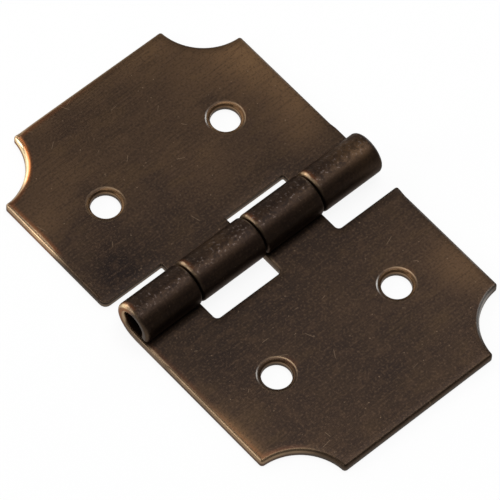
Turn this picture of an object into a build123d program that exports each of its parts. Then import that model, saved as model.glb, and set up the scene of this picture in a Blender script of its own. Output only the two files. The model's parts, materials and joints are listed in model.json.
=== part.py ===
from build123d import *
from math import asin, degrees, radians, tan
import os

# Decorative butt hinge of stamped sheet, opened flat and lying on its back.
# X runs along the pin, Y away from it across the leaves, Z up out of the backs.
# The origin is under the middle of the pin, on the plane of the two backs.

# Leaf blank, seen from above
leaf_length = 25.0
leaf_reach = 20.0
sheet = 0.8
scallop_radius = 4.65
scallop_shift = 0.15
tip_round = 0.3
front_slot_depth = 3.5
rear_slot_depth = 3.25
front_slot_round = 0.4
rear_slot_round = 0.12
front_corner_round = 0.2
rear_corner_round = 0.6
edge_break = 0.1

# Screw holes
hole_diameter = 2.5
hole_spacing = 12.7
hole_offset = 10.3
countersink_diameter = 3.2
countersink_angle = 90.0

# Pin and the four knuckles rolled round it, counted from the -X end
pin_diameter = 2.0
pin_clearance = 0.08
pin_recess = 1.0
pin_end_break = 0.25
first_knuckle = 5.84
second_knuckle = 6.62
third_knuckle = 6.0
knuckle_gap = 0.12
seam_gap = 0.15

# Worked out from the sizes above
bore_radius = pin_diameter / 2 + pin_clearance
knuckle_radius = bore_radius + sheet
left_end = -leaf_length / 2
right_end = leaf_length / 2
second_start = left_end + first_knuckle + knuckle_gap
third_start = second_start + second_knuckle + knuckle_gap
fourth_start = third_start + third_knuckle + knuckle_gap
front_knuckles = [(left_end, left_end + first_knuckle), (third_start, third_start + third_knuckle)]
rear_knuckles = [(second_start, second_start + second_knuckle), (fourth_start, right_end)]


def blank(knuckles, slot_depth, slot_round, corner_round):
    """Flat outline on the +Y side: a plate with hollowed outer corners, and one tab for each knuckle."""
    plate_depth = leaf_reach - slot_depth
    outline = Pos(0, slot_depth) * Rectangle(leaf_length, plate_depth, align=(Align.CENTER, Align.MIN))
    for start, end in knuckles:
        outline += Pos(start, 0) * Rectangle(end - start, slot_depth, align=(Align.MIN, Align.MIN))
    for x in (left_end, right_end):
        outline -= Pos(x, leaf_reach + scallop_shift) * Circle(scallop_radius)

    def at_slot(vertex):
        return abs(vertex.Y - slot_depth) < edge_break

    def at_side(vertex):
        return abs(abs(vertex.X) - right_end) < edge_break

    outline = fillet(outline.vertices().filter_by(lambda v: v.Y > hole_offset), tip_round)
    outline = fillet(outline.vertices().filter_by(lambda v: at_slot(v) and at_side(v)), corner_round)
    inner_corners = outline.vertices().filter_by(lambda v: at_slot(v) and abs(v.X) < right_end - corner_round)
    return fillet(inner_corners, slot_round)


def curl():
    """Section of a knuckle: the sheet rolls from under the pin, round the far side and back over the top."""
    centre = (0, knuckle_radius)
    lip_angle = -degrees(asin((bore_radius - seam_gap) / knuckle_radius))
    outside = CenterArc(centre, knuckle_radius, 270, lip_angle - 270)
    inside = CenterArc(centre, bore_radius, 270, lip_angle - 270)
    return make_face([outside, Line(outside @ 1, inside @ 1), inside, Line(outside @ 0, inside @ 0)])


def screw_hole():
    """Straight hole through the sheet with a countersink at its top."""
    rim_widening = (countersink_diameter - hole_diameter) / 2
    depth = rim_widening / tan(radians(countersink_angle / 2))
    up = (Align.CENTER, Align.CENTER, Align.MIN)
    down = (Align.CENTER, Align.CENTER, Align.MAX)
    countersink = Cone(hole_diameter / 2, countersink_diameter / 2, depth, align=down)
    return Cylinder(hole_diameter / 2, sheet, align=up) + Pos(0, 0, sheet) * countersink


def leaf(knuckles, slot_depth, slot_round, corner_round):
    """One leaf on the +Y side: blank, rolled knuckles, softened cut edges and two screw holes."""
    body = extrude(blank(knuckles, slot_depth, slot_round, corner_round), amount=sheet)
    for start, end in knuckles:
        body += Pos(start, 0, 0) * extrude(Plane.YZ * curl(), amount=end - start)
    body = chamfer(cut_edges(body, slot_depth), edge_break)
    for x in (-hole_spacing / 2, hole_spacing / 2):
        body -= Pos(x, hole_offset, 0) * screw_hole()
    return body


def cut_edges(body, slot_depth):
    """Both rims of the stamped outline, on the flat and round the knuckles' ends, but not the rolled lips."""
    arcs = body.edges().filter_by(GeomType.CIRCLE)
    sides = body.edges().filter_by(Axis.Y)
    fronts = body.edges().filter_by(Axis.X).filter_by(lambda e: e.center().Y > slot_depth - edge_break)
    return arcs + sides + fronts


def turned(knuckles):
    """The same knuckles seen from the other side of the pin."""
    return [(-end, -start) for start, end in knuckles]


rear_leaf = leaf(rear_knuckles, rear_slot_depth, rear_slot_round, rear_corner_round)
front_leaf = leaf(turned(front_knuckles), front_slot_depth, front_slot_round, front_corner_round)
front_leaf = Rot(0, 0, 180) * front_leaf

hinge_pin = Rot(0, 90, 0) * Cylinder(pin_diameter / 2, leaf_length - 2 * pin_recess)
hinge_pin = Pos(0, 0, knuckle_radius) * chamfer(hinge_pin.edges().filter_by(GeomType.CIRCLE), pin_end_break)

os.makedirs("parts", exist_ok=True)
for name, solid in {"front_leaf": front_leaf, "rear_leaf": rear_leaf, "hinge_pin": hinge_pin}.items():
    export_step(solid, f"parts/{name}.step")
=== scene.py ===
import json
import math

import bmesh
import bpy
import numpy as np
from mathutils import Matrix, Vector
from mathutils.geometry import delaunay_2d_cdt
from mathutils.kdtree import KDTree


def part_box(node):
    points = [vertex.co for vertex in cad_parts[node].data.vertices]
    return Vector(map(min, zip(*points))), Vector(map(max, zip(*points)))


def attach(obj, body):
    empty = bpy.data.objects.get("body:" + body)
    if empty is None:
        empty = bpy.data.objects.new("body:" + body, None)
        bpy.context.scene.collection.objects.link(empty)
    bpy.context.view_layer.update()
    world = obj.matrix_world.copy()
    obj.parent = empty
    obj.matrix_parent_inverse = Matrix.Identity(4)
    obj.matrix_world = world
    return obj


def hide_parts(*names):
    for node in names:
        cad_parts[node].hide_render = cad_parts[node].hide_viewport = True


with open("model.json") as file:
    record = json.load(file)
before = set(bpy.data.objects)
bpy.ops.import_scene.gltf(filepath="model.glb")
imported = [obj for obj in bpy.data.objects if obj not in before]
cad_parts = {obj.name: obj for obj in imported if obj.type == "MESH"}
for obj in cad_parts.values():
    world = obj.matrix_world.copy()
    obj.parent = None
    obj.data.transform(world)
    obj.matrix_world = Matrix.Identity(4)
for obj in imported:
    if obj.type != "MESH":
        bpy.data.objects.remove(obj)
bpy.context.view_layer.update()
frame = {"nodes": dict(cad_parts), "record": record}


# The leaves: two stampings of plated sheet with hollowed outer corners, each with two countersunk holes.
# A leaf is cut flat with two tabs, and the tabs are then rolled round the pin to make its knuckles.
mm = 0.001
record = frame["record"]
screws = next(mount for mount in record["mounts"] if mount["name"] == "rear_screws")
leaf_half, leaf_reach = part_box("rear_leaf")[1][:2]
knuckle_radius = record["behaviour"]["joints"][0]["pos_m"][2]
hole_offset = screws["pos_m"][1]
hole_side = screws["dims"]["spacing_x_mm"] / 2 * mm
hole_radius = screws["dims"]["hole_r_mm"] * mm
countersink_radius = 1.6 * mm
sheet = 0.8 * mm
scallop_radius = 4.65 * mm
scallop_shift = 0.15 * mm
tip_round = 0.3 * mm
lip_round = 0.35 * mm
front_slot_depth = 3.5 * mm
front_slot_round = 0.4 * mm
front_corner_round = 0.2 * mm
rear_slot_depth = 3.25 * mm
rear_slot_round = 0.12 * mm
rear_corner_round = 0.6 * mm
show_round = 0.28 * mm
back_round = 0.08 * mm
knuckle_outer_round = 0.27 * mm
knuckle_inner_round = 0.14 * mm
knuckle_end_round = 0.36 * mm
knuckle_mouth_round = 0.3 * mm
slot_edge_round = 0.07 * mm
seam_gap = 0.15 * mm
knuckle_gap = 0.12 * mm
knuckle_tuck = 0.004 * mm
first_knuckle = 5.84 * mm
second_knuckle = 6.62 * mm
third_knuckle = 6.0 * mm
mesh_step = 0.22 * mm
rim_steps = 6

bore_radius = knuckle_radius - sheet
lip_turn = 1.5 * math.pi + math.asin((bore_radius - seam_gap) / knuckle_radius)
roll_length = lip_turn * (knuckle_radius - sheet / 2)
second_start = -leaf_half + first_knuckle + knuckle_gap
third_start = second_start + second_knuckle + knuckle_gap
fourth_start = third_start + third_knuckle + knuckle_gap
front_tabs = [(-third_start - third_knuckle, -third_start), (leaf_half - first_knuckle, leaf_half)]
rear_tabs = [(second_start, second_start + second_knuckle), (fourth_start, leaf_half)]


def scallop(side):
    """Points of the hollow outer corner at one side (1 or -1), from the leaf's side to its outer edge."""
    steps = 20
    last = math.pi / 2 - math.asin(scallop_shift / scallop_radius)
    turns = np.linspace(0, last, steps + 1)
    x = side * (leaf_half - scallop_radius * np.sin(turns))
    y = leaf_reach + scallop_shift - scallop_radius * np.cos(turns)
    rounds = np.zeros(steps + 1)
    rounds[[0, -1]] = tip_round
    return list(zip(x, y, rounds))


def blank_corners(tabs, slot_depth, slot_round, corner_round):
    """Corners (x, y, rounding) of the flat leaf, anticlockwise. The tabs reach below y = 0 by their roll."""
    corners = []
    for start, end in tabs:
        if start > -leaf_half:
            if not corners:
                corners.append((-leaf_half, slot_depth, corner_round))
            corners.append((start, slot_depth, slot_round))
        corners.append((start, -roll_length, lip_round))
        corners.append((end, -roll_length, lip_round))
        if end < leaf_half:
            corners.append((end, slot_depth, slot_round))
    if tabs[-1][1] < leaf_half:
        corners.append((leaf_half, slot_depth, corner_round))
    return corners + scallop(1) + scallop(-1)[::-1]


def rounded(corners):
    """Closed outline whose corners are arcs, with no stretch longer than the mesh step."""
    arc_steps = 6
    points = []
    for i, (x, y, radius) in enumerate(corners):
        here = np.array((x, y))
        if radius == 0:
            points.append(here)
            continue
        back = np.array(corners[i - 1][:2]) - here
        ahead = np.array(corners[(i + 1) % len(corners)][:2]) - here
        back /= np.linalg.norm(back)
        ahead /= np.linalg.norm(ahead)
        half_angle = math.acos(np.clip(back @ ahead, -1, 1)) / 2
        middle = (back + ahead) / np.linalg.norm(back + ahead)
        centre = here + middle * radius / math.sin(half_angle)
        reach = math.pi / 2 - half_angle
        across = np.array((-middle[1], middle[0]))
        across *= np.sign(across @ back)
        for turn in np.linspace(reach, -reach, arc_steps + 1):
            points.append(centre + radius * (across * math.sin(turn) - middle * math.cos(turn)))
    outline = []
    for here, ahead in zip(points, points[1:] + points[:1]):
        pieces = max(1, math.ceil(np.linalg.norm(ahead - here) / mesh_step))
        outline += [here + (ahead - here) * k / pieces for k in range(pieces)]
    return np.array(outline)


def rounding_room(outline):
    """How far each point of the outline can move into the metal before a tight corner folds over itself."""
    least_bend = 0.02
    safe_share = 0.85
    growth = 0.25
    unlimited = 1.0
    ahead = np.roll(outline, -1, 0) - outline
    back = outline - np.roll(outline, 1, 0)
    step = np.linalg.norm(ahead, axis=1)
    bend = (back[:, 0] * ahead[:, 1] - back[:, 1] * ahead[:, 0]) / (step * np.linalg.norm(back, axis=1))
    room = np.where(bend > least_bend, safe_share * step / np.maximum(bend, least_bend), unlimited)
    along = np.concatenate(([0], np.cumsum(step)[:-1]))
    apart = np.abs(along[:, None] - along[None, :])
    apart = np.minimum(apart, step.sum() - apart)
    return (room[None, :] + growth * apart).min(1)


def inset(outline, depth):
    """The outline moved into the metal, which lies on its left."""
    ahead = np.roll(outline, -1, 0) - outline
    ahead /= np.linalg.norm(ahead, axis=1)[:, None]
    along = ahead + np.roll(ahead, 1, 0)
    along /= np.linalg.norm(along, axis=1)[:, None]
    return outline + depth[:, None] * np.c_[-along[:, 1], along[:, 0]]


def circle(centre, radius):
    """Points round a screw hole."""
    steps = 64
    turns = np.linspace(0, 2 * math.pi, steps, endpoint=False)
    return np.array(centre) + radius * np.c_[np.cos(turns), np.sin(turns)]


def cut_edge_finder(outline, holes):
    """Search tree of the cut edges, from which each point's distance to the nearest one is read."""
    points_a_side = 10
    points = []
    for loop in [outline] + [circle(hole, countersink_radius) for hole in holes]:
        for share in np.linspace(0, 1, points_a_side, endpoint=False):
            points.append(loop + share * (np.roll(loop, -1, 0) - loop))
    points = np.concatenate(points)
    tree = KDTree(len(points))
    for i, (x, y) in enumerate(points):
        tree.insert((x, y, 0), i)
    tree.balance()
    return tree


def inside(points, outline):
    """Which points lie within the outline, by counting the sides that a line to the right crosses."""
    result = np.zeros(len(points), bool)
    for (x0, y0), (x1, y1) in zip(outline, np.roll(outline, -1, 0)):
        if y0 != y1:
            crosses = (y0 > points[:, 1]) != (y1 > points[:, 1])
            result ^= crosses & (points[:, 0] < x0 + (points[:, 1] - y0) * (x1 - x0) / (y1 - y0))
    return result


def flat_face(loops, finder, height):
    """Vertices and triangles of one face of the sheet, between an outline and its holes."""
    rim_clearance = 2 * show_round + mesh_step / 2
    triangles_inside = 1
    same_place = 1e-9
    outline = loops[0]
    columns = np.arange(outline[:, 0].min(), outline[:, 0].max(), mesh_step)
    rows = np.arange(outline[:, 1].min(), outline[:, 1].max(), mesh_step)
    grid = np.stack(np.meshgrid(columns, rows), -1).reshape(-1, 2)
    grid = grid[inside(grid, outline)]
    for loop in loops[1:]:
        grid = grid[~inside(grid, loop)]
    clear = [finder.find((x, y, 0))[2] > rim_clearance for x, y in grid]
    points = np.concatenate(loops + [grid[clear]])
    sides = []
    first = 0
    for loop in loops:
        sides += [(first + k, first + (k + 1) % len(loop)) for k in range(len(loop))]
        first += len(loop)
    found = delaunay_2d_cdt([Vector(p) for p in points], sides, [], triangles_inside, same_place)
    places, triangles = found[0], found[2]
    middles = np.array([np.mean([places[k] for k in triangle], 0) for triangle in triangles])
    open_hole = np.any([inside(middles, loop) for loop in loops[1:]], 0)
    return [(x, y, height) for x, y in places], [t for t, hole in zip(triangles, open_hole) if not hole]


def add_rings(vertices, faces, rings):
    """Closes the wall between each ring of points and the next."""
    for lower, upper in zip(rings, rings[1:]):
        first = len(vertices)
        count = len(lower)
        vertices += [tuple(p) for p in lower] + [tuple(p) for p in upper]
        for k in range(count):
            after = (k + 1) % count
            faces.append((first + k, first + after, first + count + after, first + count + k))


def at_height(loop, height):
    return np.c_[loop, np.broadcast_to(height, len(loop))]


def spotted(places, spots):
    """Sum of soft round spots (x, y, reach, strength), with x, y and reach in millimetres."""
    total = np.zeros(len(places))
    for x, y, reach, strength in spots:
        total += strength * np.exp(-((places[:, 0] - x) ** 2 + (places[:, 1] - y) ** 2) / reach ** 2)
    return total


def edge_rings(outline, pressed):
    """Rings of points up the cut edge, from the back to the show face, with both arrises rounded."""
    tab_start = 0.5 * mm
    tab_blend = 1.5 * mm
    slot_start = 4.5 * mm
    slot_blend = 0.7 * mm
    on_tab = np.clip((tab_start - outline[:, 1]) / tab_blend, 0, 1)
    by_slot = np.clip((slot_start - outline[:, 1]) / slot_blend, 0, 1)
    at_end = np.clip((np.abs(outline[:, 0]) - leaf_half + tip_round) / tip_round, 0, 1)
    room = rounding_room(outline)
    knuckle_round = knuckle_outer_round + (knuckle_end_round - knuckle_outer_round) * at_end
    bore_round = knuckle_inner_round + (knuckle_mouth_round - knuckle_inner_round) * at_end
    lower_round = np.minimum(room, back_round + (knuckle_round - back_round) * on_tab)
    upper_round = show_round + (slot_edge_round - show_round) * by_slot
    upper_round = upper_round + (bore_round - slot_edge_round) * on_tab
    upper_round = np.minimum(room, upper_round + spotted(outline / mm, pressed) * mm)
    lower = []
    upper = []
    for turn in np.linspace(0, math.pi / 2, rim_steps):
        from_top = 1 - math.sin(turn)
        from_side = 1 - math.cos(turn)
        lower.append(at_height(inset(outline, lower_round * from_top), lower_round * from_side))
        upper.append(at_height(inset(outline, upper_round * from_side), sheet - upper_round * from_top))
    return lower + upper


def hole_profile():
    """Radius and height up a screw hole's wall, from the back to the show face, over its rolled rim."""
    land = 0.1 * mm
    roll_width = countersink_radius - hole_radius
    roll_depth = 0.7 * roll_width
    profile = [(hole_radius + back_round, 0), (hole_radius, back_round)]
    for turn in np.linspace(0, math.pi / 2, rim_steps):
        radius = countersink_radius - roll_width * math.cos(turn)
        profile.append((radius, sheet - roll_depth * (1 - math.sin(turn))))
    return profile + [(countersink_radius + land, sheet)]


def flat_leaf(name, tabs, slot_depth, slot_round, corner_round, pressed):
    """The leaf before its tabs are rolled: x along the pin, y across it, z through the sheet."""
    weld = 0.001 * mm
    outline = rounded(blank_corners(tabs, slot_depth, slot_round, corner_round))
    holes = [(-hole_side, hole_offset), (hole_side, hole_offset)]
    finder = cut_edge_finder(outline, holes)
    rings = edge_rings(outline, pressed)
    profile = hole_profile()
    vertices, faces = [], []
    add_rings(vertices, faces, rings)
    for hole in holes:
        add_rings(vertices, faces, [at_height(circle(hole, radius), height) for radius, height in profile])
    for rim, (hole_rim, height) in ((rings[0], profile[0]), (rings[-1], profile[-1])):
        loops = [rim[:, :2]] + [circle(hole, hole_rim) for hole in holes]
        points, triangles = flat_face(loops, finder, height)
        first = len(vertices)
        vertices += points
        faces += [tuple(first + k for k in triangle) for triangle in triangles]

    mesh = bpy.data.meshes.new(name)
    mesh.from_pydata([tuple(map(float, v)) for v in vertices], [], faces)
    work = bmesh.new()
    work.from_mesh(mesh)
    bmesh.ops.remove_doubles(work, verts=work.verts, dist=weld)
    bmesh.ops.recalc_face_normals(work, faces=work.faces)
    work.to_mesh(mesh)
    work.free()
    return mesh, finder


def note_finish(mesh, finder, strip_place, wear_and_glint_spots, tone_and_light_spots):
    """Keeps on each point its place in the strip, its distance to a cut edge, its wear with painted
    highlights and glints, and its tone with painted light and shade.
    Both measures are in millimetres, the distance stretched by a hole's rim for a finer worn line there.
    """
    rim_reach = 0.5
    rim_stretch = 3.5
    wall_start = -0.34
    roll_start = -0.05
    # Lightening of each hole's rolled rim and wall, partly painted light
    roll_tone_and_light = 0.4
    deep_roll_start = -0.15
    deep_roll_tone_and_light = 0.3
    places = np.empty(len(mesh.vertices) * 3)
    mesh.vertices.foreach_get("co", places)
    places = places.reshape(-1, 3) / mm
    edge = np.array([finder.find((x * mm, y * mm, 0))[2] for x, y, _ in places]) / mm
    tone_and_painted_light = spotted(places, tone_and_light_spots)
    for side in (-hole_side, hole_side):
        from_axis = np.hypot(places[:, 0] - side / mm, places[:, 1] - hole_offset / mm)
        from_rim = from_axis - countersink_radius / mm
        stretched = np.minimum(rim_reach, rim_stretch * np.abs(from_rim))
        edge = np.where(from_rim < rim_reach, stretched, edge)
        edge[from_rim < wall_start] = 0
        # Each hole's rolled rim and wall are made lighter: machined metal, and painted light against their
        # dark reflection.
        tone_and_painted_light = tone_and_painted_light + roll_tone_and_light * (from_rim < roll_start) + deep_roll_tone_and_light * (from_rim < deep_roll_start)
    strip = places + np.array((strip_place, 0, 0))
    mesh.attributes.new("strip", "FLOAT_VECTOR", "POINT").data.foreach_set("vector", strip.ravel())
    for name, values in (("rim", edge), ("wear_and_glints", spotted(places, wear_and_glint_spots)), ("tone_and_painted_light", tone_and_painted_light)):
        mesh.attributes.new(name, "FLOAT", "POINT").data.foreach_set("value", values)


class Wire:
    """One socket of a node tree. Arithmetic on wires adds Math nodes, and node() adds any other node."""

    def __init__(self, tree, socket=None):
        self.tree = tree
        self.socket = socket

    def node(self, kind, settings, sockets, outlet=0):
        """A new node with its settings, then its sockets' values or wires. Gives the wire of one outlet."""
        made = self.tree.nodes.new(kind)
        for name, value in settings.items():
            setattr(made, name, value)
        for name, value in sockets.items():
            if isinstance(value, Wire):
                self.tree.links.new(value.socket, made.inputs[name])
            else:
                made.inputs[name].default_value = value
        return Wire(self.tree, made.outputs[outlet])

    def math(self, operation, *values):
        return self.node("ShaderNodeMath", {"operation": operation}, dict(enumerate(values)))

    def __add__(self, other):
        return self.math("ADD", self, other)

    def __radd__(self, other):
        return self.math("ADD", other, self)

    def __sub__(self, other):
        return self.math("SUBTRACT", self, other)

    def __rsub__(self, other):
        return self.math("SUBTRACT", other, self)

    def __mul__(self, other):
        return self.math("MULTIPLY", self, other)

    def __rmul__(self, other):
        return self.math("MULTIPLY", other, self)

    def __truediv__(self, other):
        return self.math("DIVIDE", self, other)

    def sin(self):
        return self.math("SINE", self)

    def cos(self):
        return self.math("COSINE", self)

    def size(self):
        """The value without its sign."""
        return self.math("ABSOLUTE", self)

    def at_least(self, other):
        return self.math("MAXIMUM", self, other)

    def at_most(self, other):
        return self.math("MINIMUM", self, other)

    def eased(self, edge, softness, start, end):
        """From the start to the end value, smoothly, as this one goes from edge to edge + softness."""
        smooth = {"interpolation_type": "SMOOTHSTEP"}
        limits = {"From Min": edge, "From Max": edge + softness, "To Min": start, "To Max": end}
        return self.node("ShaderNodeMapRange", smooth, {"Value": self, **limits})

    def below(self, edge, softness):
        """1 where the value is under the edge, falling smoothly to 0 at edge + softness."""
        return self.eased(edge, softness, 1.0, 0.0)

    def above(self, edge, softness):
        """0 where the value is under the edge, rising smoothly to 1 at edge + softness."""
        return self.eased(edge, softness, 0.0, 1.0)

    def part(self, axis):
        """One of a vector's three values."""
        return self.node("ShaderNodeSeparateXYZ", {}, {0: self}, "XYZ".index(axis))

    def scaled(self, x, y, z):
        return self.node("ShaderNodeVectorMath", {"operation": "MULTIPLY"}, {0: self, 1: (x, y, z)})

    def mix(self, start, end):
        """From one colour to another as this value goes from 0 to 1."""
        factor, first_colour, second_colour, mixed_colour = 0, 6, 7, 2
        sockets = {factor: self, first_colour: start, second_colour: end}
        return self.node("ShaderNodeMix", {"data_type": "RGBA"}, sockets, mixed_colour)


def rolling_tree():
    """Geometry nodes that roll a flat leaf's tabs round the pin and turn it to its side of the hinge."""
    tree = bpy.data.node_groups.new("roll tabs", "GeometryNodeTree")
    tree.interface.new_socket("Geometry", in_out="OUTPUT", socket_type="NodeSocketGeometry")
    tree.interface.new_socket("Geometry", in_out="INPUT", socket_type="NodeSocketGeometry")
    for name in ("Knuckle Radius", "Sheet", "Tuck", "Side"):
        tree.interface.new_socket(name, in_out="INPUT", socket_type="NodeSocketFloat")
    tree.interface.new_socket("Finish", in_out="INPUT", socket_type="NodeSocketMaterial")
    start = tree.nodes.new("NodeGroupInput")
    inlets = {socket.name: Wire(tree, socket) for socket in start.outputs if socket.name}
    place = Wire(tree).node("GeometryNodeInputPosition", {}, {})
    radius, side = inlets["Knuckle Radius"], inlets["Side"]
    across = place.part("Y")
    turn = (0 - across).at_least(0.0) / (radius - inlets["Sheet"] / 2)
    from_axis = radius - place.part("Z") - inlets["Tuck"] * turn.at_most(1.0)
    y = across.at_least(0.0) - from_axis * turn.sin()
    z = radius - from_axis * turn.cos()
    rolled = place.node("ShaderNodeCombineXYZ", {}, {0: place.part("X") * side, 1: y * side, 2: z})
    leaf = place.node("GeometryNodeSetPosition", {}, {"Geometry": inlets["Geometry"], "Position": rolled})
    leaf = leaf.node("GeometryNodeSetShadeSmooth", {}, {0: leaf})
    leaf = leaf.node("GeometryNodeRealizeInstances", {}, {0: leaf})
    leaf = leaf.node("GeometryNodeSetMaterial", {}, {"Geometry": leaf, "Material": inlets["Finish"]})
    end = tree.nodes.new("NodeGroupOutput")
    tree.links.new(leaf.socket, end.inputs[0])
    return tree


def colour(red, green, blue):
    """A colour given in the 0 to 255 values of a picture, as the shader's linear values."""
    def linear(value):
        share = value / 255
        return share / 12.92 if value < 10.3 else ((share + 0.055) / 1.055) ** 2.4
    return (linear(red), linear(green), linear(blue), 1.0)


def noise(strip, scale, detail, x=1.0, y=1.0, roughness=0.55):
    """Cloudy pattern on the strip, drawn out along x or y where that scale is under 1."""
    sockets = {"Vector": strip.scaled(x, y, 1.0), "Scale": scale, "Detail": detail, "Roughness": roughness}
    return strip.node("ShaderNodeTexNoise", {}, sockets)


def short_marks(strip, scale, chance, length, width):
    """Short straight marks, one in some of the cells of a random pattern, each at its own angle."""
    def cell(outlet):
        sockets = {"Vector": strip, "Scale": scale}
        return strip.node("ShaderNodeTexVoronoi", {"voronoi_dimensions": "2D"}, sockets, outlet)
    chances = cell("Color")
    offset = strip.node("ShaderNodeVectorMath", {"operation": "SUBTRACT"}, {0: strip, 1: cell("Position")})
    angle = chances.part("X") * math.tau
    along = offset.part("X") * angle.cos() + offset.part("Y") * angle.sin()
    across = offset.part("Y") * angle.cos() - offset.part("X") * angle.sin()
    reach = length * (0.3 + 0.7 * chances.part("Z"))
    inside_length = (along.size() / reach).below(0.7, 0.3)
    inside_width = across.size().below(width * 0.4, width)
    return inside_length * inside_width * chances.part("Y").above(1.0 - chance, 0.02)


def antique_bronze():
    """Dark brown bronze plating: brushed along the pin, clouded, finely scratched, worn bright at edges, with
    painted highlights, glints and shade.
    """
    dark_brown = colour(47, 36, 29)
    brown = colour(55, 42, 32)
    hazy_brown = colour(68, 52, 35)
    # Lighter and darker tones, which also carry painted light and shade
    lighter_brown_and_painted_light = colour(116, 88, 60)
    darker_black_and_painted_shade = colour(18, 15, 17)
    # Painted shade on the plate by the knuckles
    painted_knuckle_shade = colour(26, 21, 19)
    brushed_light = colour(78, 60, 44)
    brushed_dark = colour(34, 26, 22)
    patch_brown = colour(70, 53, 40)
    grain_light = colour(76, 60, 47)
    grain_dark = colour(34, 27, 24)
    scratch_tan = colour(124, 104, 84)
    # Painted shade over the tops and undersides of the knuckles
    painted_top_shade_brown = colour(39, 28, 22)
    painted_under_shade_black = colour(26, 22, 22)
    wall_grey = colour(74, 66, 58)
    knuckle_wall_grey = colour(88, 81, 74)
    # Painted light on the slot walls and a painted highlight on their arris
    painted_slot_wall_light = colour(108, 94, 80)
    painted_slot_arris_tan = colour(112, 93, 76)
    worn_tan = colour(182, 154, 122)
    bare_copper = colour(214, 132, 76)
    # Painted highlight at the core of the most worn arrises
    pale_gold_highlight = colour(255, 230, 184)
    # Painted grey glint on arrises where the wear is below 0
    painted_glint_grey = colour(190, 188, 184)
    worn_wall_gold = colour(160, 122, 84)
    copper_band = colour(165, 94, 50)
    pit_black = colour(20, 17, 18)
    fleck_grey = colour(110, 100, 96)
    mirror_tint = (0.62, 0.59, 0.57, 1.0)

    material = bpy.data.materials.new("antique bronze plating")
    material.use_nodes = True
    tree = material.node_tree
    shader = tree.nodes["Principled BSDF"]
    start = Wire(tree)
    as_vector, as_number = 1, 2
    strip = start.node("ShaderNodeAttribute", {"attribute_name": "strip"}, {}, as_vector)
    rim = start.node("ShaderNodeAttribute", {"attribute_name": "rim"}, {}, as_number)
    wear_and_glints = start.node("ShaderNodeAttribute", {"attribute_name": "wear_and_glints"}, {}, as_number)
    tone_and_painted_light = start.node("ShaderNodeAttribute", {"attribute_name": "tone_and_painted_light"}, {}, as_number)
    place = start.node("ShaderNodeTexCoord", {}, {}, "Object").scaled(1 / mm, 1 / mm, 1 / mm)

    clouds = noise(strip, 0.25, 5.0)
    haze = noise(strip, 0.6, 3.0, x=0.45)
    patches = noise(strip, 1.1, 4.0)
    brushing = noise(strip, 1.0, 3.0, x=0.3, y=8.0, roughness=0.7)
    grain = noise(strip, 5.0, 2.0)
    mottle = noise(strip, 2.4, 3.0)
    across = strip.part("Y")
    depth = strip.part("Z")
    on_tab = across.below(-0.8, 1.2)

    # Clouded brown ground, toned lighter and darker by place, in part as painted light and shade, and painted
    # shade on the plate towards the knuckles
    finish = clouds.above(0.36, 0.3).mix(dark_brown, brown)
    finish = (haze.above(0.5, 0.2) * 0.35).mix(finish, hazy_brown)
    finish = tone_and_painted_light.above(0.0, 1.0).mix(finish, lighter_brown_and_painted_light)
    finish = tone_and_painted_light.below(-1.0, 1.0).mix(finish, darker_black_and_painted_shade)
    finish = (across.below(3.0, 5.5) * (1 - on_tab) * 0.4).mix(finish, painted_knuckle_shade)

    # Brushing along the pin, patches, fine grain and small scratches
    finish = (brushing.above(0.45, 0.4) * 0.35).mix(finish, brushed_light)
    finish = (brushing.below(0.32, 0.2) * 0.35).mix(finish, brushed_dark)
    finish = (patches.above(0.48, 0.2) * 0.25).mix(finish, patch_brown)
    finish = (grain.above(0.5, 0.25) * 0.6).mix(finish, grain_light)
    finish = (grain.below(0.32, 0.18) * 0.4).mix(finish, grain_dark)
    scratches = short_marks(strip, 0.4, 0.3, 0.5, 0.03)
    specks = short_marks(strip, 0.7, 0.3, 0.07, 0.05)
    marks = scratches * 0.55 + specks * 0.7
    finish = (marks * 0.6).mix(finish, scratch_tan)

    # Knuckles, with painted shade: darker brown on top to dim their highlight, and darker underneath
    painted_top_shade = place.part("Z").above(1.9, 0.9)
    finish = (painted_top_shade * 0.35).mix(finish, painted_top_shade_brown)
    painted_under_shade = place.part("Z").below(0.5, 0.9) * on_tab
    finish = (painted_under_shade * 0.35).mix(finish, painted_under_shade_black)

    # Walls of the cut edges, with painted light on the shaded slot walls and a painted highlight on the arris
    # round the slots
    tab_edge = depth.below(0.15, 0.2).at_least(depth.above(0.5, 0.2)) * on_tab
    edge = (depth.above(0.3, 0.2) * (1 - on_tab)).at_least(tab_edge)
    cut_wall = rim.below(0.0, 0.05) * (1 - edge)
    by_slot = across.below(3.7, 0.3) * (1 - on_tab)
    wall_colour = by_slot.mix(on_tab.mix(wall_grey, knuckle_wall_grey), painted_slot_wall_light)
    finish = (cut_wall * 0.85).mix(finish, wall_colour)
    painted_slot_arris_highlight = rim.below(0.0, 0.06) * by_slot * depth.above(0.68, 0.06)
    finish = (painted_slot_arris_highlight * 0.6).mix(finish, painted_slot_arris_tan)

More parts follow.
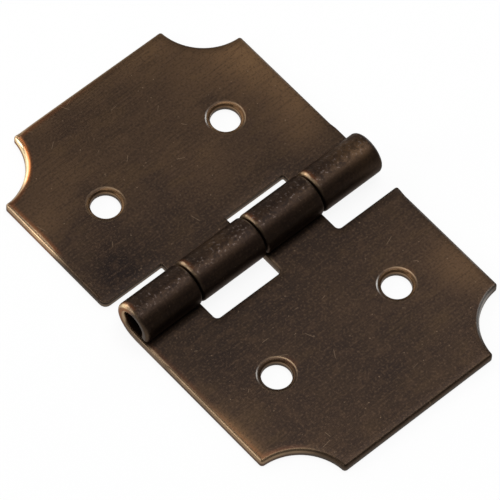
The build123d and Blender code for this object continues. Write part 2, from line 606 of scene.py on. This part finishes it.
    # Arrises worn through to copper, partly as painted highlights, with a painted pale gold highlight at the
    # core, painted grey glints where the wear is below 0, and a copper band beside them
    bare_and_highlit = wear_and_glints.at_least(0.0).at_most(1.0)
    painted_grey_glint = wear_and_glints.below(-1.0, 1.0)
    flaking = patches.above(0.38, 0.24)
    arris = (rim - 0.22 * bare_and_highlit.above(0.55, 0.45)).below(0.1, 0.2) * edge
    worn_and_highlit_arris = arris * (bare_and_highlit + 0.04 * across.above(4.0, 1.0)) * (0.85 + 0.15 * flaking)
    rubbed_and_highlit = bare_and_highlit.above(0.75, 0.25)
    edge_colour = rubbed_and_highlit.mix(worn_tan, bare_copper)
    edge_colour = (rubbed_and_highlit * rim.below(0.14, 0.2)).mix(edge_colour, pale_gold_highlight)
    finish = worn_and_highlit_arris.mix(finish, edge_colour)
    finish = (arris * painted_grey_glint).mix(finish, painted_glint_grey)
    worn_and_highlit_wall = cut_wall * bare_and_highlit.above(0.5, 0.5)
    finish = (worn_and_highlit_wall * 0.7).mix(finish, worn_wall_gold)
    worn_band = rim.below(0.2, 0.5) * bare_and_highlit.above(0.15, 0.85) * (0.35 + 0.65 * brushing)
    finish = (worn_band * (1 - arris) * 0.55).mix(finish, copper_band)

    # Pits and pale flecks along the upper back of the knuckles
    upper_back = place.part("Z").above(2.2, 0.6) * place.part("Y").above(-0.9, 0.7)
    pits = mottle.above(0.5, 0.1) * upper_back
    finish = (pits * 0.35).mix(finish, pit_black)
    flecks = grain.above(0.58, 0.08) * mottle.below(0.46, 0.08) * upper_back
    finish = (flecks * 0.5).mix(finish, fleck_grey)

    gloss = 0.44 + 0.16 * (brushing - 0.5) + 0.1 * pits - 0.2 * worn_and_highlit_arris
    gloss = gloss - 0.1 * painted_grey_glint * arris + 0.04 * on_tab
    relief = brushing * 0.3 + grain * 0.2 - pits - marks * 0.4
    bump = strip.node("ShaderNodeBump", {}, {"Strength": 0.3, "Distance": 0.03 * mm, "Height": relief})
    tree.links.new(finish.socket, shader.inputs["Base Color"])
    tree.links.new(gloss.socket, shader.inputs["Roughness"])
    tree.links.new(bump.socket, shader.inputs["Normal"])
    shader.inputs["Metallic"].default_value = 1.0
    shader.inputs["Specular Tint"].default_value = mirror_tint
    shader.inputs["Coat Weight"].default_value = 0.06
    shader.inputs["Coat Roughness"].default_value = 0.35
    return material


bronze = antique_bronze()
roll_tabs = rolling_tree()


def rolled_leaf(name, body, blank, side, strip_place, pressed, wear_and_glint_spots, tone_and_light_spots):
    """A finished leaf that stands for its solid and rides on its body."""
    mesh, finder = flat_leaf(name, *blank, pressed)
    note_finish(mesh, finder, strip_place, wear_and_glint_spots, tone_and_light_spots)
    leaf = bpy.data.objects.new(name, mesh)
    bpy.context.collection.objects.link(leaf)
    rolling = leaf.modifiers.new("roll tabs", "NODES")
    rolling.node_group = roll_tabs
    inputs = {"Knuckle Radius": knuckle_radius, "Sheet": sheet, "Tuck": knuckle_tuck, "Side": float(side),
              "Finish": bronze}
    for item in roll_tabs.interface.items_tree:
        if item.in_out == "INPUT" and item.name in inputs:
            rolling[item.identifier] = inputs[item.name]
    shaped = leaf.evaluated_get(bpy.context.evaluated_depsgraph_get())
    leaf.data = bpy.data.meshes.new_from_object(shaped)
    leaf.modifiers.clear()
    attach(leaf, body)
    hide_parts(body)


# Soft spots (x, y, reach, strength) on the flat leaves. A pressed spot widens the rounding of the edge,
# a worn one bares copper and paints highlights, or paints grey glints where it is below 0, and a toned
# one lightens or, below 0, darkens, partly as painted light and shade.
front_pressed = [(12.5, 14.5, 3.0, 0.05)]
front_wear_and_glint_spots = [
    # Side by the first knuckle
    (12.5, 14.5, 2.2, 0.45), (12.5, 11.0, 2.2, 0.35), (12.5, 7.0, 2.5, 0.35), (12.5, 2.5, 3.0, 0.35),
    # Open end of the first knuckle, worn copper with a painted cream highlight on top
    (12.5, -3.2, 1.2, 0.7), (12.5, -4.0, 0.8, 0.4), (12.5, -1.5, 1.2, 0.5), (12.5, -6.6, 1.5, 0.08),
    # Ends of the knuckles that meet the other leaf's, worn and with painted highlights
    (-0.2, -3.6, 1.2, 0.75), (-0.2, 2.2, 1.3, 0.12), (6.66, -3.6, 1.2, 0.3), (-6.2, -3.6, 1.2, 0.3),
    # Hollow corner on the first knuckle's side
    (9.5, 15.8, 2.0, 0.3),
    # Rims of the holes, with painted grey glints and painted copper highlights
    (-5.1, 9.3, 0.7, -0.6), (7.6, 9.3, 0.7, -0.4), (-7.5, 9.3, 0.9, 0.15), (5.2, 9.3, 0.9, 0.15),
    (-7.9, 10.2, 0.8, 0.35), (4.8, 10.3, 0.9, 0.35),
    # The other hollow corner and the side below it, with painted grey glints
    (-8.8, 17.3, 1.6, -0.5), (-10.6, 15.8, 1.6, -0.4), (-12.5, 12.0, 2.5, -0.25), (-12.5, 7.0, 3.0, -0.2)]
front_tone_and_light_spots = [
    # Painted shade over the whole face; its outer edge and a patch by the first knuckle darker, one side
    # lighter
    (0.0, 11.0, 16.0, -0.31), (1.0, 18.5, 6.0, -0.18), (-11.5, 12.0, 5.0, 0.55), (9.0, 6.0, 4.0, -0.3),
    # Along the side by the first knuckle
    (12.8, 15.2, 1.8, 0.45), (12.8, 13.6, 1.7, 0.35), (12.8, 12.2, 1.7, 0.4), (12.8, 10.8, 1.6, 0.4),
    (12.8, 9.4, 1.5, 0.35), (12.8, 7.8, 1.3, 0.3), (12.8, 6.2, 1.3, 0.28), (12.8, 4.6, 1.2, 0.2),
    # Painted light on the two knuckles
    (9.6, -3.2, 1.8, 0.25), (-3.2, -3.2, 1.8, 0.2)]
rear_pressed = [(-8.6, 18.0, 2.2, 0.28), (-11.6, 15.4, 1.6, 0.1)]
rear_wear_and_glint_spots = [
    # Side by the first knuckle and its hollow corner, worn, with a painted pale gold highlight on the corner
    (-12.5, 14.5, 1.8, 0.55), (-12.5, 11.4, 2.2, 0.8), (-12.5, 9.7, 0.8, 0.26),
    (-8.7, 17.8, 2.0, 1.6), (-10.6, 16.2, 1.5, 0.4),
    # Outer edge
    (0.0, 20.0, 6.0, 0.3), (-5.5, 20.0, 4.0, 0.4),
    # Ends of the knuckles, worn and with painted highlights, and a painted grey glint on the fourth knuckle's
    # open end
    (-6.54, -5.6, 1.2, 0.8), (6.32, -5.6, 1.2, 0.9), (0.08, -5.6, 1.2, 0.3), (12.5, -5.0, 2.0, -0.35),
    # Side by the fourth knuckle, with painted grey glints
    (12.5, 12.0, 5.0, -0.2),
    # Rims of the holes, with a painted grey glint and painted copper highlights
    (5.1, 11.3, 0.7, -0.6), (7.8, 10.2, 0.9, 0.45), (7.4, 9.2, 0.7, 0.25), (-5.0, 10.8, 0.8, 0.25)]
rear_tone_and_light_spots = [
    # Outer half of the face, and the side by the fourth knuckle, lighter, partly as painted light
    (-8.0, 14.5, 5.0, 0.25), (1.0, 14.0, 5.0, 0.15), (9.0, 16.0, 5.0, 0.3),
    (12.8, 14.0, 3.5, 0.42), (12.8, 8.0, 4.0, 0.45),
    # Dark patch by the first knuckle, and the side next to it
    (-9.5, 5.0, 4.0, -0.75), (-11.5, 11.5, 2.5, 0.22), (-12.8, 4.2, 1.3, 0.7), (-12.8, 6.4, 1.2, 0.25),
    # Inner half of the face
    (2.5, 7.0, 4.0, 0.2), (10.0, 4.5, 2.5, 0.25),
    # Painted light on the two knuckles
    (-3.2, -6.2, 2.0, 0.4), (9.2, -6.2, 2.0, 0.35), (11.2, -4.6, 1.5, 0.4),
    # Outer edge
    (-5.5, 20.3, 2.0, 0.3), (-1.5, 20.3, 2.0, 0.22), (3.0, 20.3, 2.5, 0.3), (6.5, 20.3, 2.0, 0.3),
    # Painted shade on the outer rims of the holes, dimming their highlights
    (6.35, 11.9, 0.7, -0.45), (-6.35, 11.9, 0.75, -0.65)]

front_blank = (front_tabs, front_slot_depth, front_slot_round, front_corner_round)
rear_blank = (rear_tabs, rear_slot_depth, rear_slot_round, rear_corner_round)
front_strip_place = 60.0
rear_strip_place = 0.0
rolled_leaf("front_leaf_dressed", "front_leaf", front_blank, -1, front_strip_place,
            front_pressed, front_wear_and_glint_spots, front_tone_and_light_spots)
rolled_leaf("rear_leaf_dressed", "rear_leaf", rear_blank, 1, rear_strip_place,
            rear_pressed, rear_wear_and_glint_spots, rear_tone_and_light_spots)


# The pin: a cropped length of drawn steel wire, darkened with the rest. It sits a little way inside the
# end knuckles, so only its two ends can be seen, down the bore.
def dark_wire():
    """Blackened drawn wire, clouded, with faint drawing marks along it."""
    wire_black = colour(38, 34, 34)
    wire_grey = colour(70, 62, 56)
    material = bpy.data.materials.new("darkened wire")
    material.use_nodes = True
    tree = material.node_tree
    shader = tree.nodes["Principled BSDF"]
    place = Wire(tree).node("ShaderNodeTexCoord", {}, {}, "Object")
    drawn_out = place.scaled(1.0, 8.0, 8.0)
    marks = place.node("ShaderNodeTexNoise", {}, {"Vector": drawn_out, "Scale": 900.0, "Detail": 3.0})
    clouds = place.node("ShaderNodeTexNoise", {}, {"Vector": place, "Scale": 1500.0, "Detail": 4.0})
    finish = clouds.above(0.4, 0.3).mix(wire_black, wire_grey)
    tree.links.new(finish.socket, shader.inputs["Base Color"])
    tree.links.new((0.4 + 0.2 * marks).socket, shader.inputs["Roughness"])
    shader.inputs["Metallic"].default_value = 1.0
    bump = place.node("ShaderNodeBump", {}, {"Strength": 0.2, "Distance": 0.01 * mm, "Height": marks})
    tree.links.new(bump.socket, shader.inputs["Normal"])
    return material


pin = frame["nodes"]["hinge_pin"]
pin.data.materials.clear()
pin.data.materials.append(dark_wire())


# The stage: a wide sheet of matt paper that reads as a white ground and keeps the hinge's shadow.
# Four square softboxes light the metal from above, from behind and from both sides, under a weak even sky.
floor_half = 1.5
floor_drop = 0.02 * mm
plain_share = 0.9
paper_white = (0.9, 0.9, 0.9, 1.0)
full_white = (1.0, 1.0, 1.0, 1.0)
sky_strength = 0.22

corner_sides = ((-1, -1), (1, -1), (1, 1), (-1, 1))
floor_corners = [(x * floor_half, y * floor_half, -floor_drop) for x, y in corner_sides]
floor_mesh = bpy.data.meshes.new("floor")
floor_mesh.from_pydata(floor_corners, [], [(0, 1, 2, 3)])
floor = bpy.data.objects.new("floor", floor_mesh)
bpy.context.collection.objects.link(floor)
paper = bpy.data.materials.new("white paper")
paper.use_nodes = True
paper_tree = paper.node_tree
paper_tree.nodes.remove(paper_tree.nodes["Principled BSDF"])
paper_start = Wire(paper_tree)
matt = paper_start.node("ShaderNodeBsdfDiffuse", {}, {"Color": paper_white})
plain = paper_start.node("ShaderNodeEmission", {}, {"Color": full_white})
in_view = paper_start.node("ShaderNodeLightPath", {}, {}, "Is Camera Ray")
in_metal = paper_start.node("ShaderNodeLightPath", {}, {}, "Is Glossy Ray")
in_glass = paper_start.node("ShaderNodeLightPath", {}, {}, "Is Transmission Ray")
seen = (in_view + in_metal + in_glass) * plain_share
shown = seen.node("ShaderNodeMixShader", {}, {0: seen, 1: matt, 2: plain})
paper_tree.links.new(shown.socket, paper_tree.nodes["Material Output"].inputs["Surface"])
floor_mesh.materials.append(paper)

sky = bpy.data.worlds.new("studio")
sky.use_nodes = True
bpy.context.scene.world = sky
sky.node_tree.nodes["Background"].inputs["Color"].default_value = full_white
sky.node_tree.nodes["Background"].inputs["Strength"].default_value = sky_strength


def softbox(name, place, size, power, tint=(1.0, 1.0, 1.0)):
    """A square studio light that points at the middle of the hinge."""
    lamp = bpy.data.lights.new(name, "AREA")
    lamp.shape = "SQUARE"
    lamp.size = size
    lamp.energy = power
    lamp.color = tint
    light = bpy.data.objects.new(name, lamp)
    light.location = place
    light.rotation_euler = (-Vector(place)).to_track_quat("-Z", "Y").to_euler()
    bpy.context.collection.objects.link(light)


cool_white = (0.82, 0.91, 1.0)
softbox("overhead softbox", (0.08, 0.0, 0.45), 0.3, 1.38)
softbox("back softbox", (-0.08, 0.58, 0.24), 0.6, 2.0)
softbox("left softbox", (-0.43, 0.22, 0.2), 0.24, 0.7)
softbox("right softbox", (0.42, 0.19, 0.21), 0.16, 0.3, cool_white)


# The camera: a long lens well away from the hinge, so that its sides stay nearly parallel in the picture.
# It looks down from over the front leaf's corner on the first knuckle's side, and leans a little to one side.
camera_azimuth = math.radians(-44.15)
camera_elevation = math.radians(58.5)
camera_roll = math.radians(3.25)
camera_distance = 443.6 * mm
camera_aim = Vector((-0.07 * mm, -0.02 * mm, 0))
sensor_width = 36.0
focal_length = 401.4
nearest_seen = 0.01

camera = bpy.data.cameras.new("camera")
camera.sensor_width = sensor_width
camera.lens = focal_length
camera.clip_start = nearest_seen
viewer = bpy.data.objects.new("camera", camera)
bpy.context.collection.objects.link(viewer)
away = Vector((math.sin(camera_azimuth) * math.cos(camera_elevation),
               -math.cos(camera_azimuth) * math.cos(camera_elevation), math.sin(camera_elevation)))
viewer.location = camera_aim + camera_distance * away
facing = (-away).to_track_quat("-Z", "Y").to_matrix().to_4x4()
viewer.rotation_euler = (facing @ Matrix.Rotation(camera_roll, 4, "Z")).to_euler()
bpy.context.scene.camera = viewer
bpy.context.scene.view_settings.view_transform = "Standard"
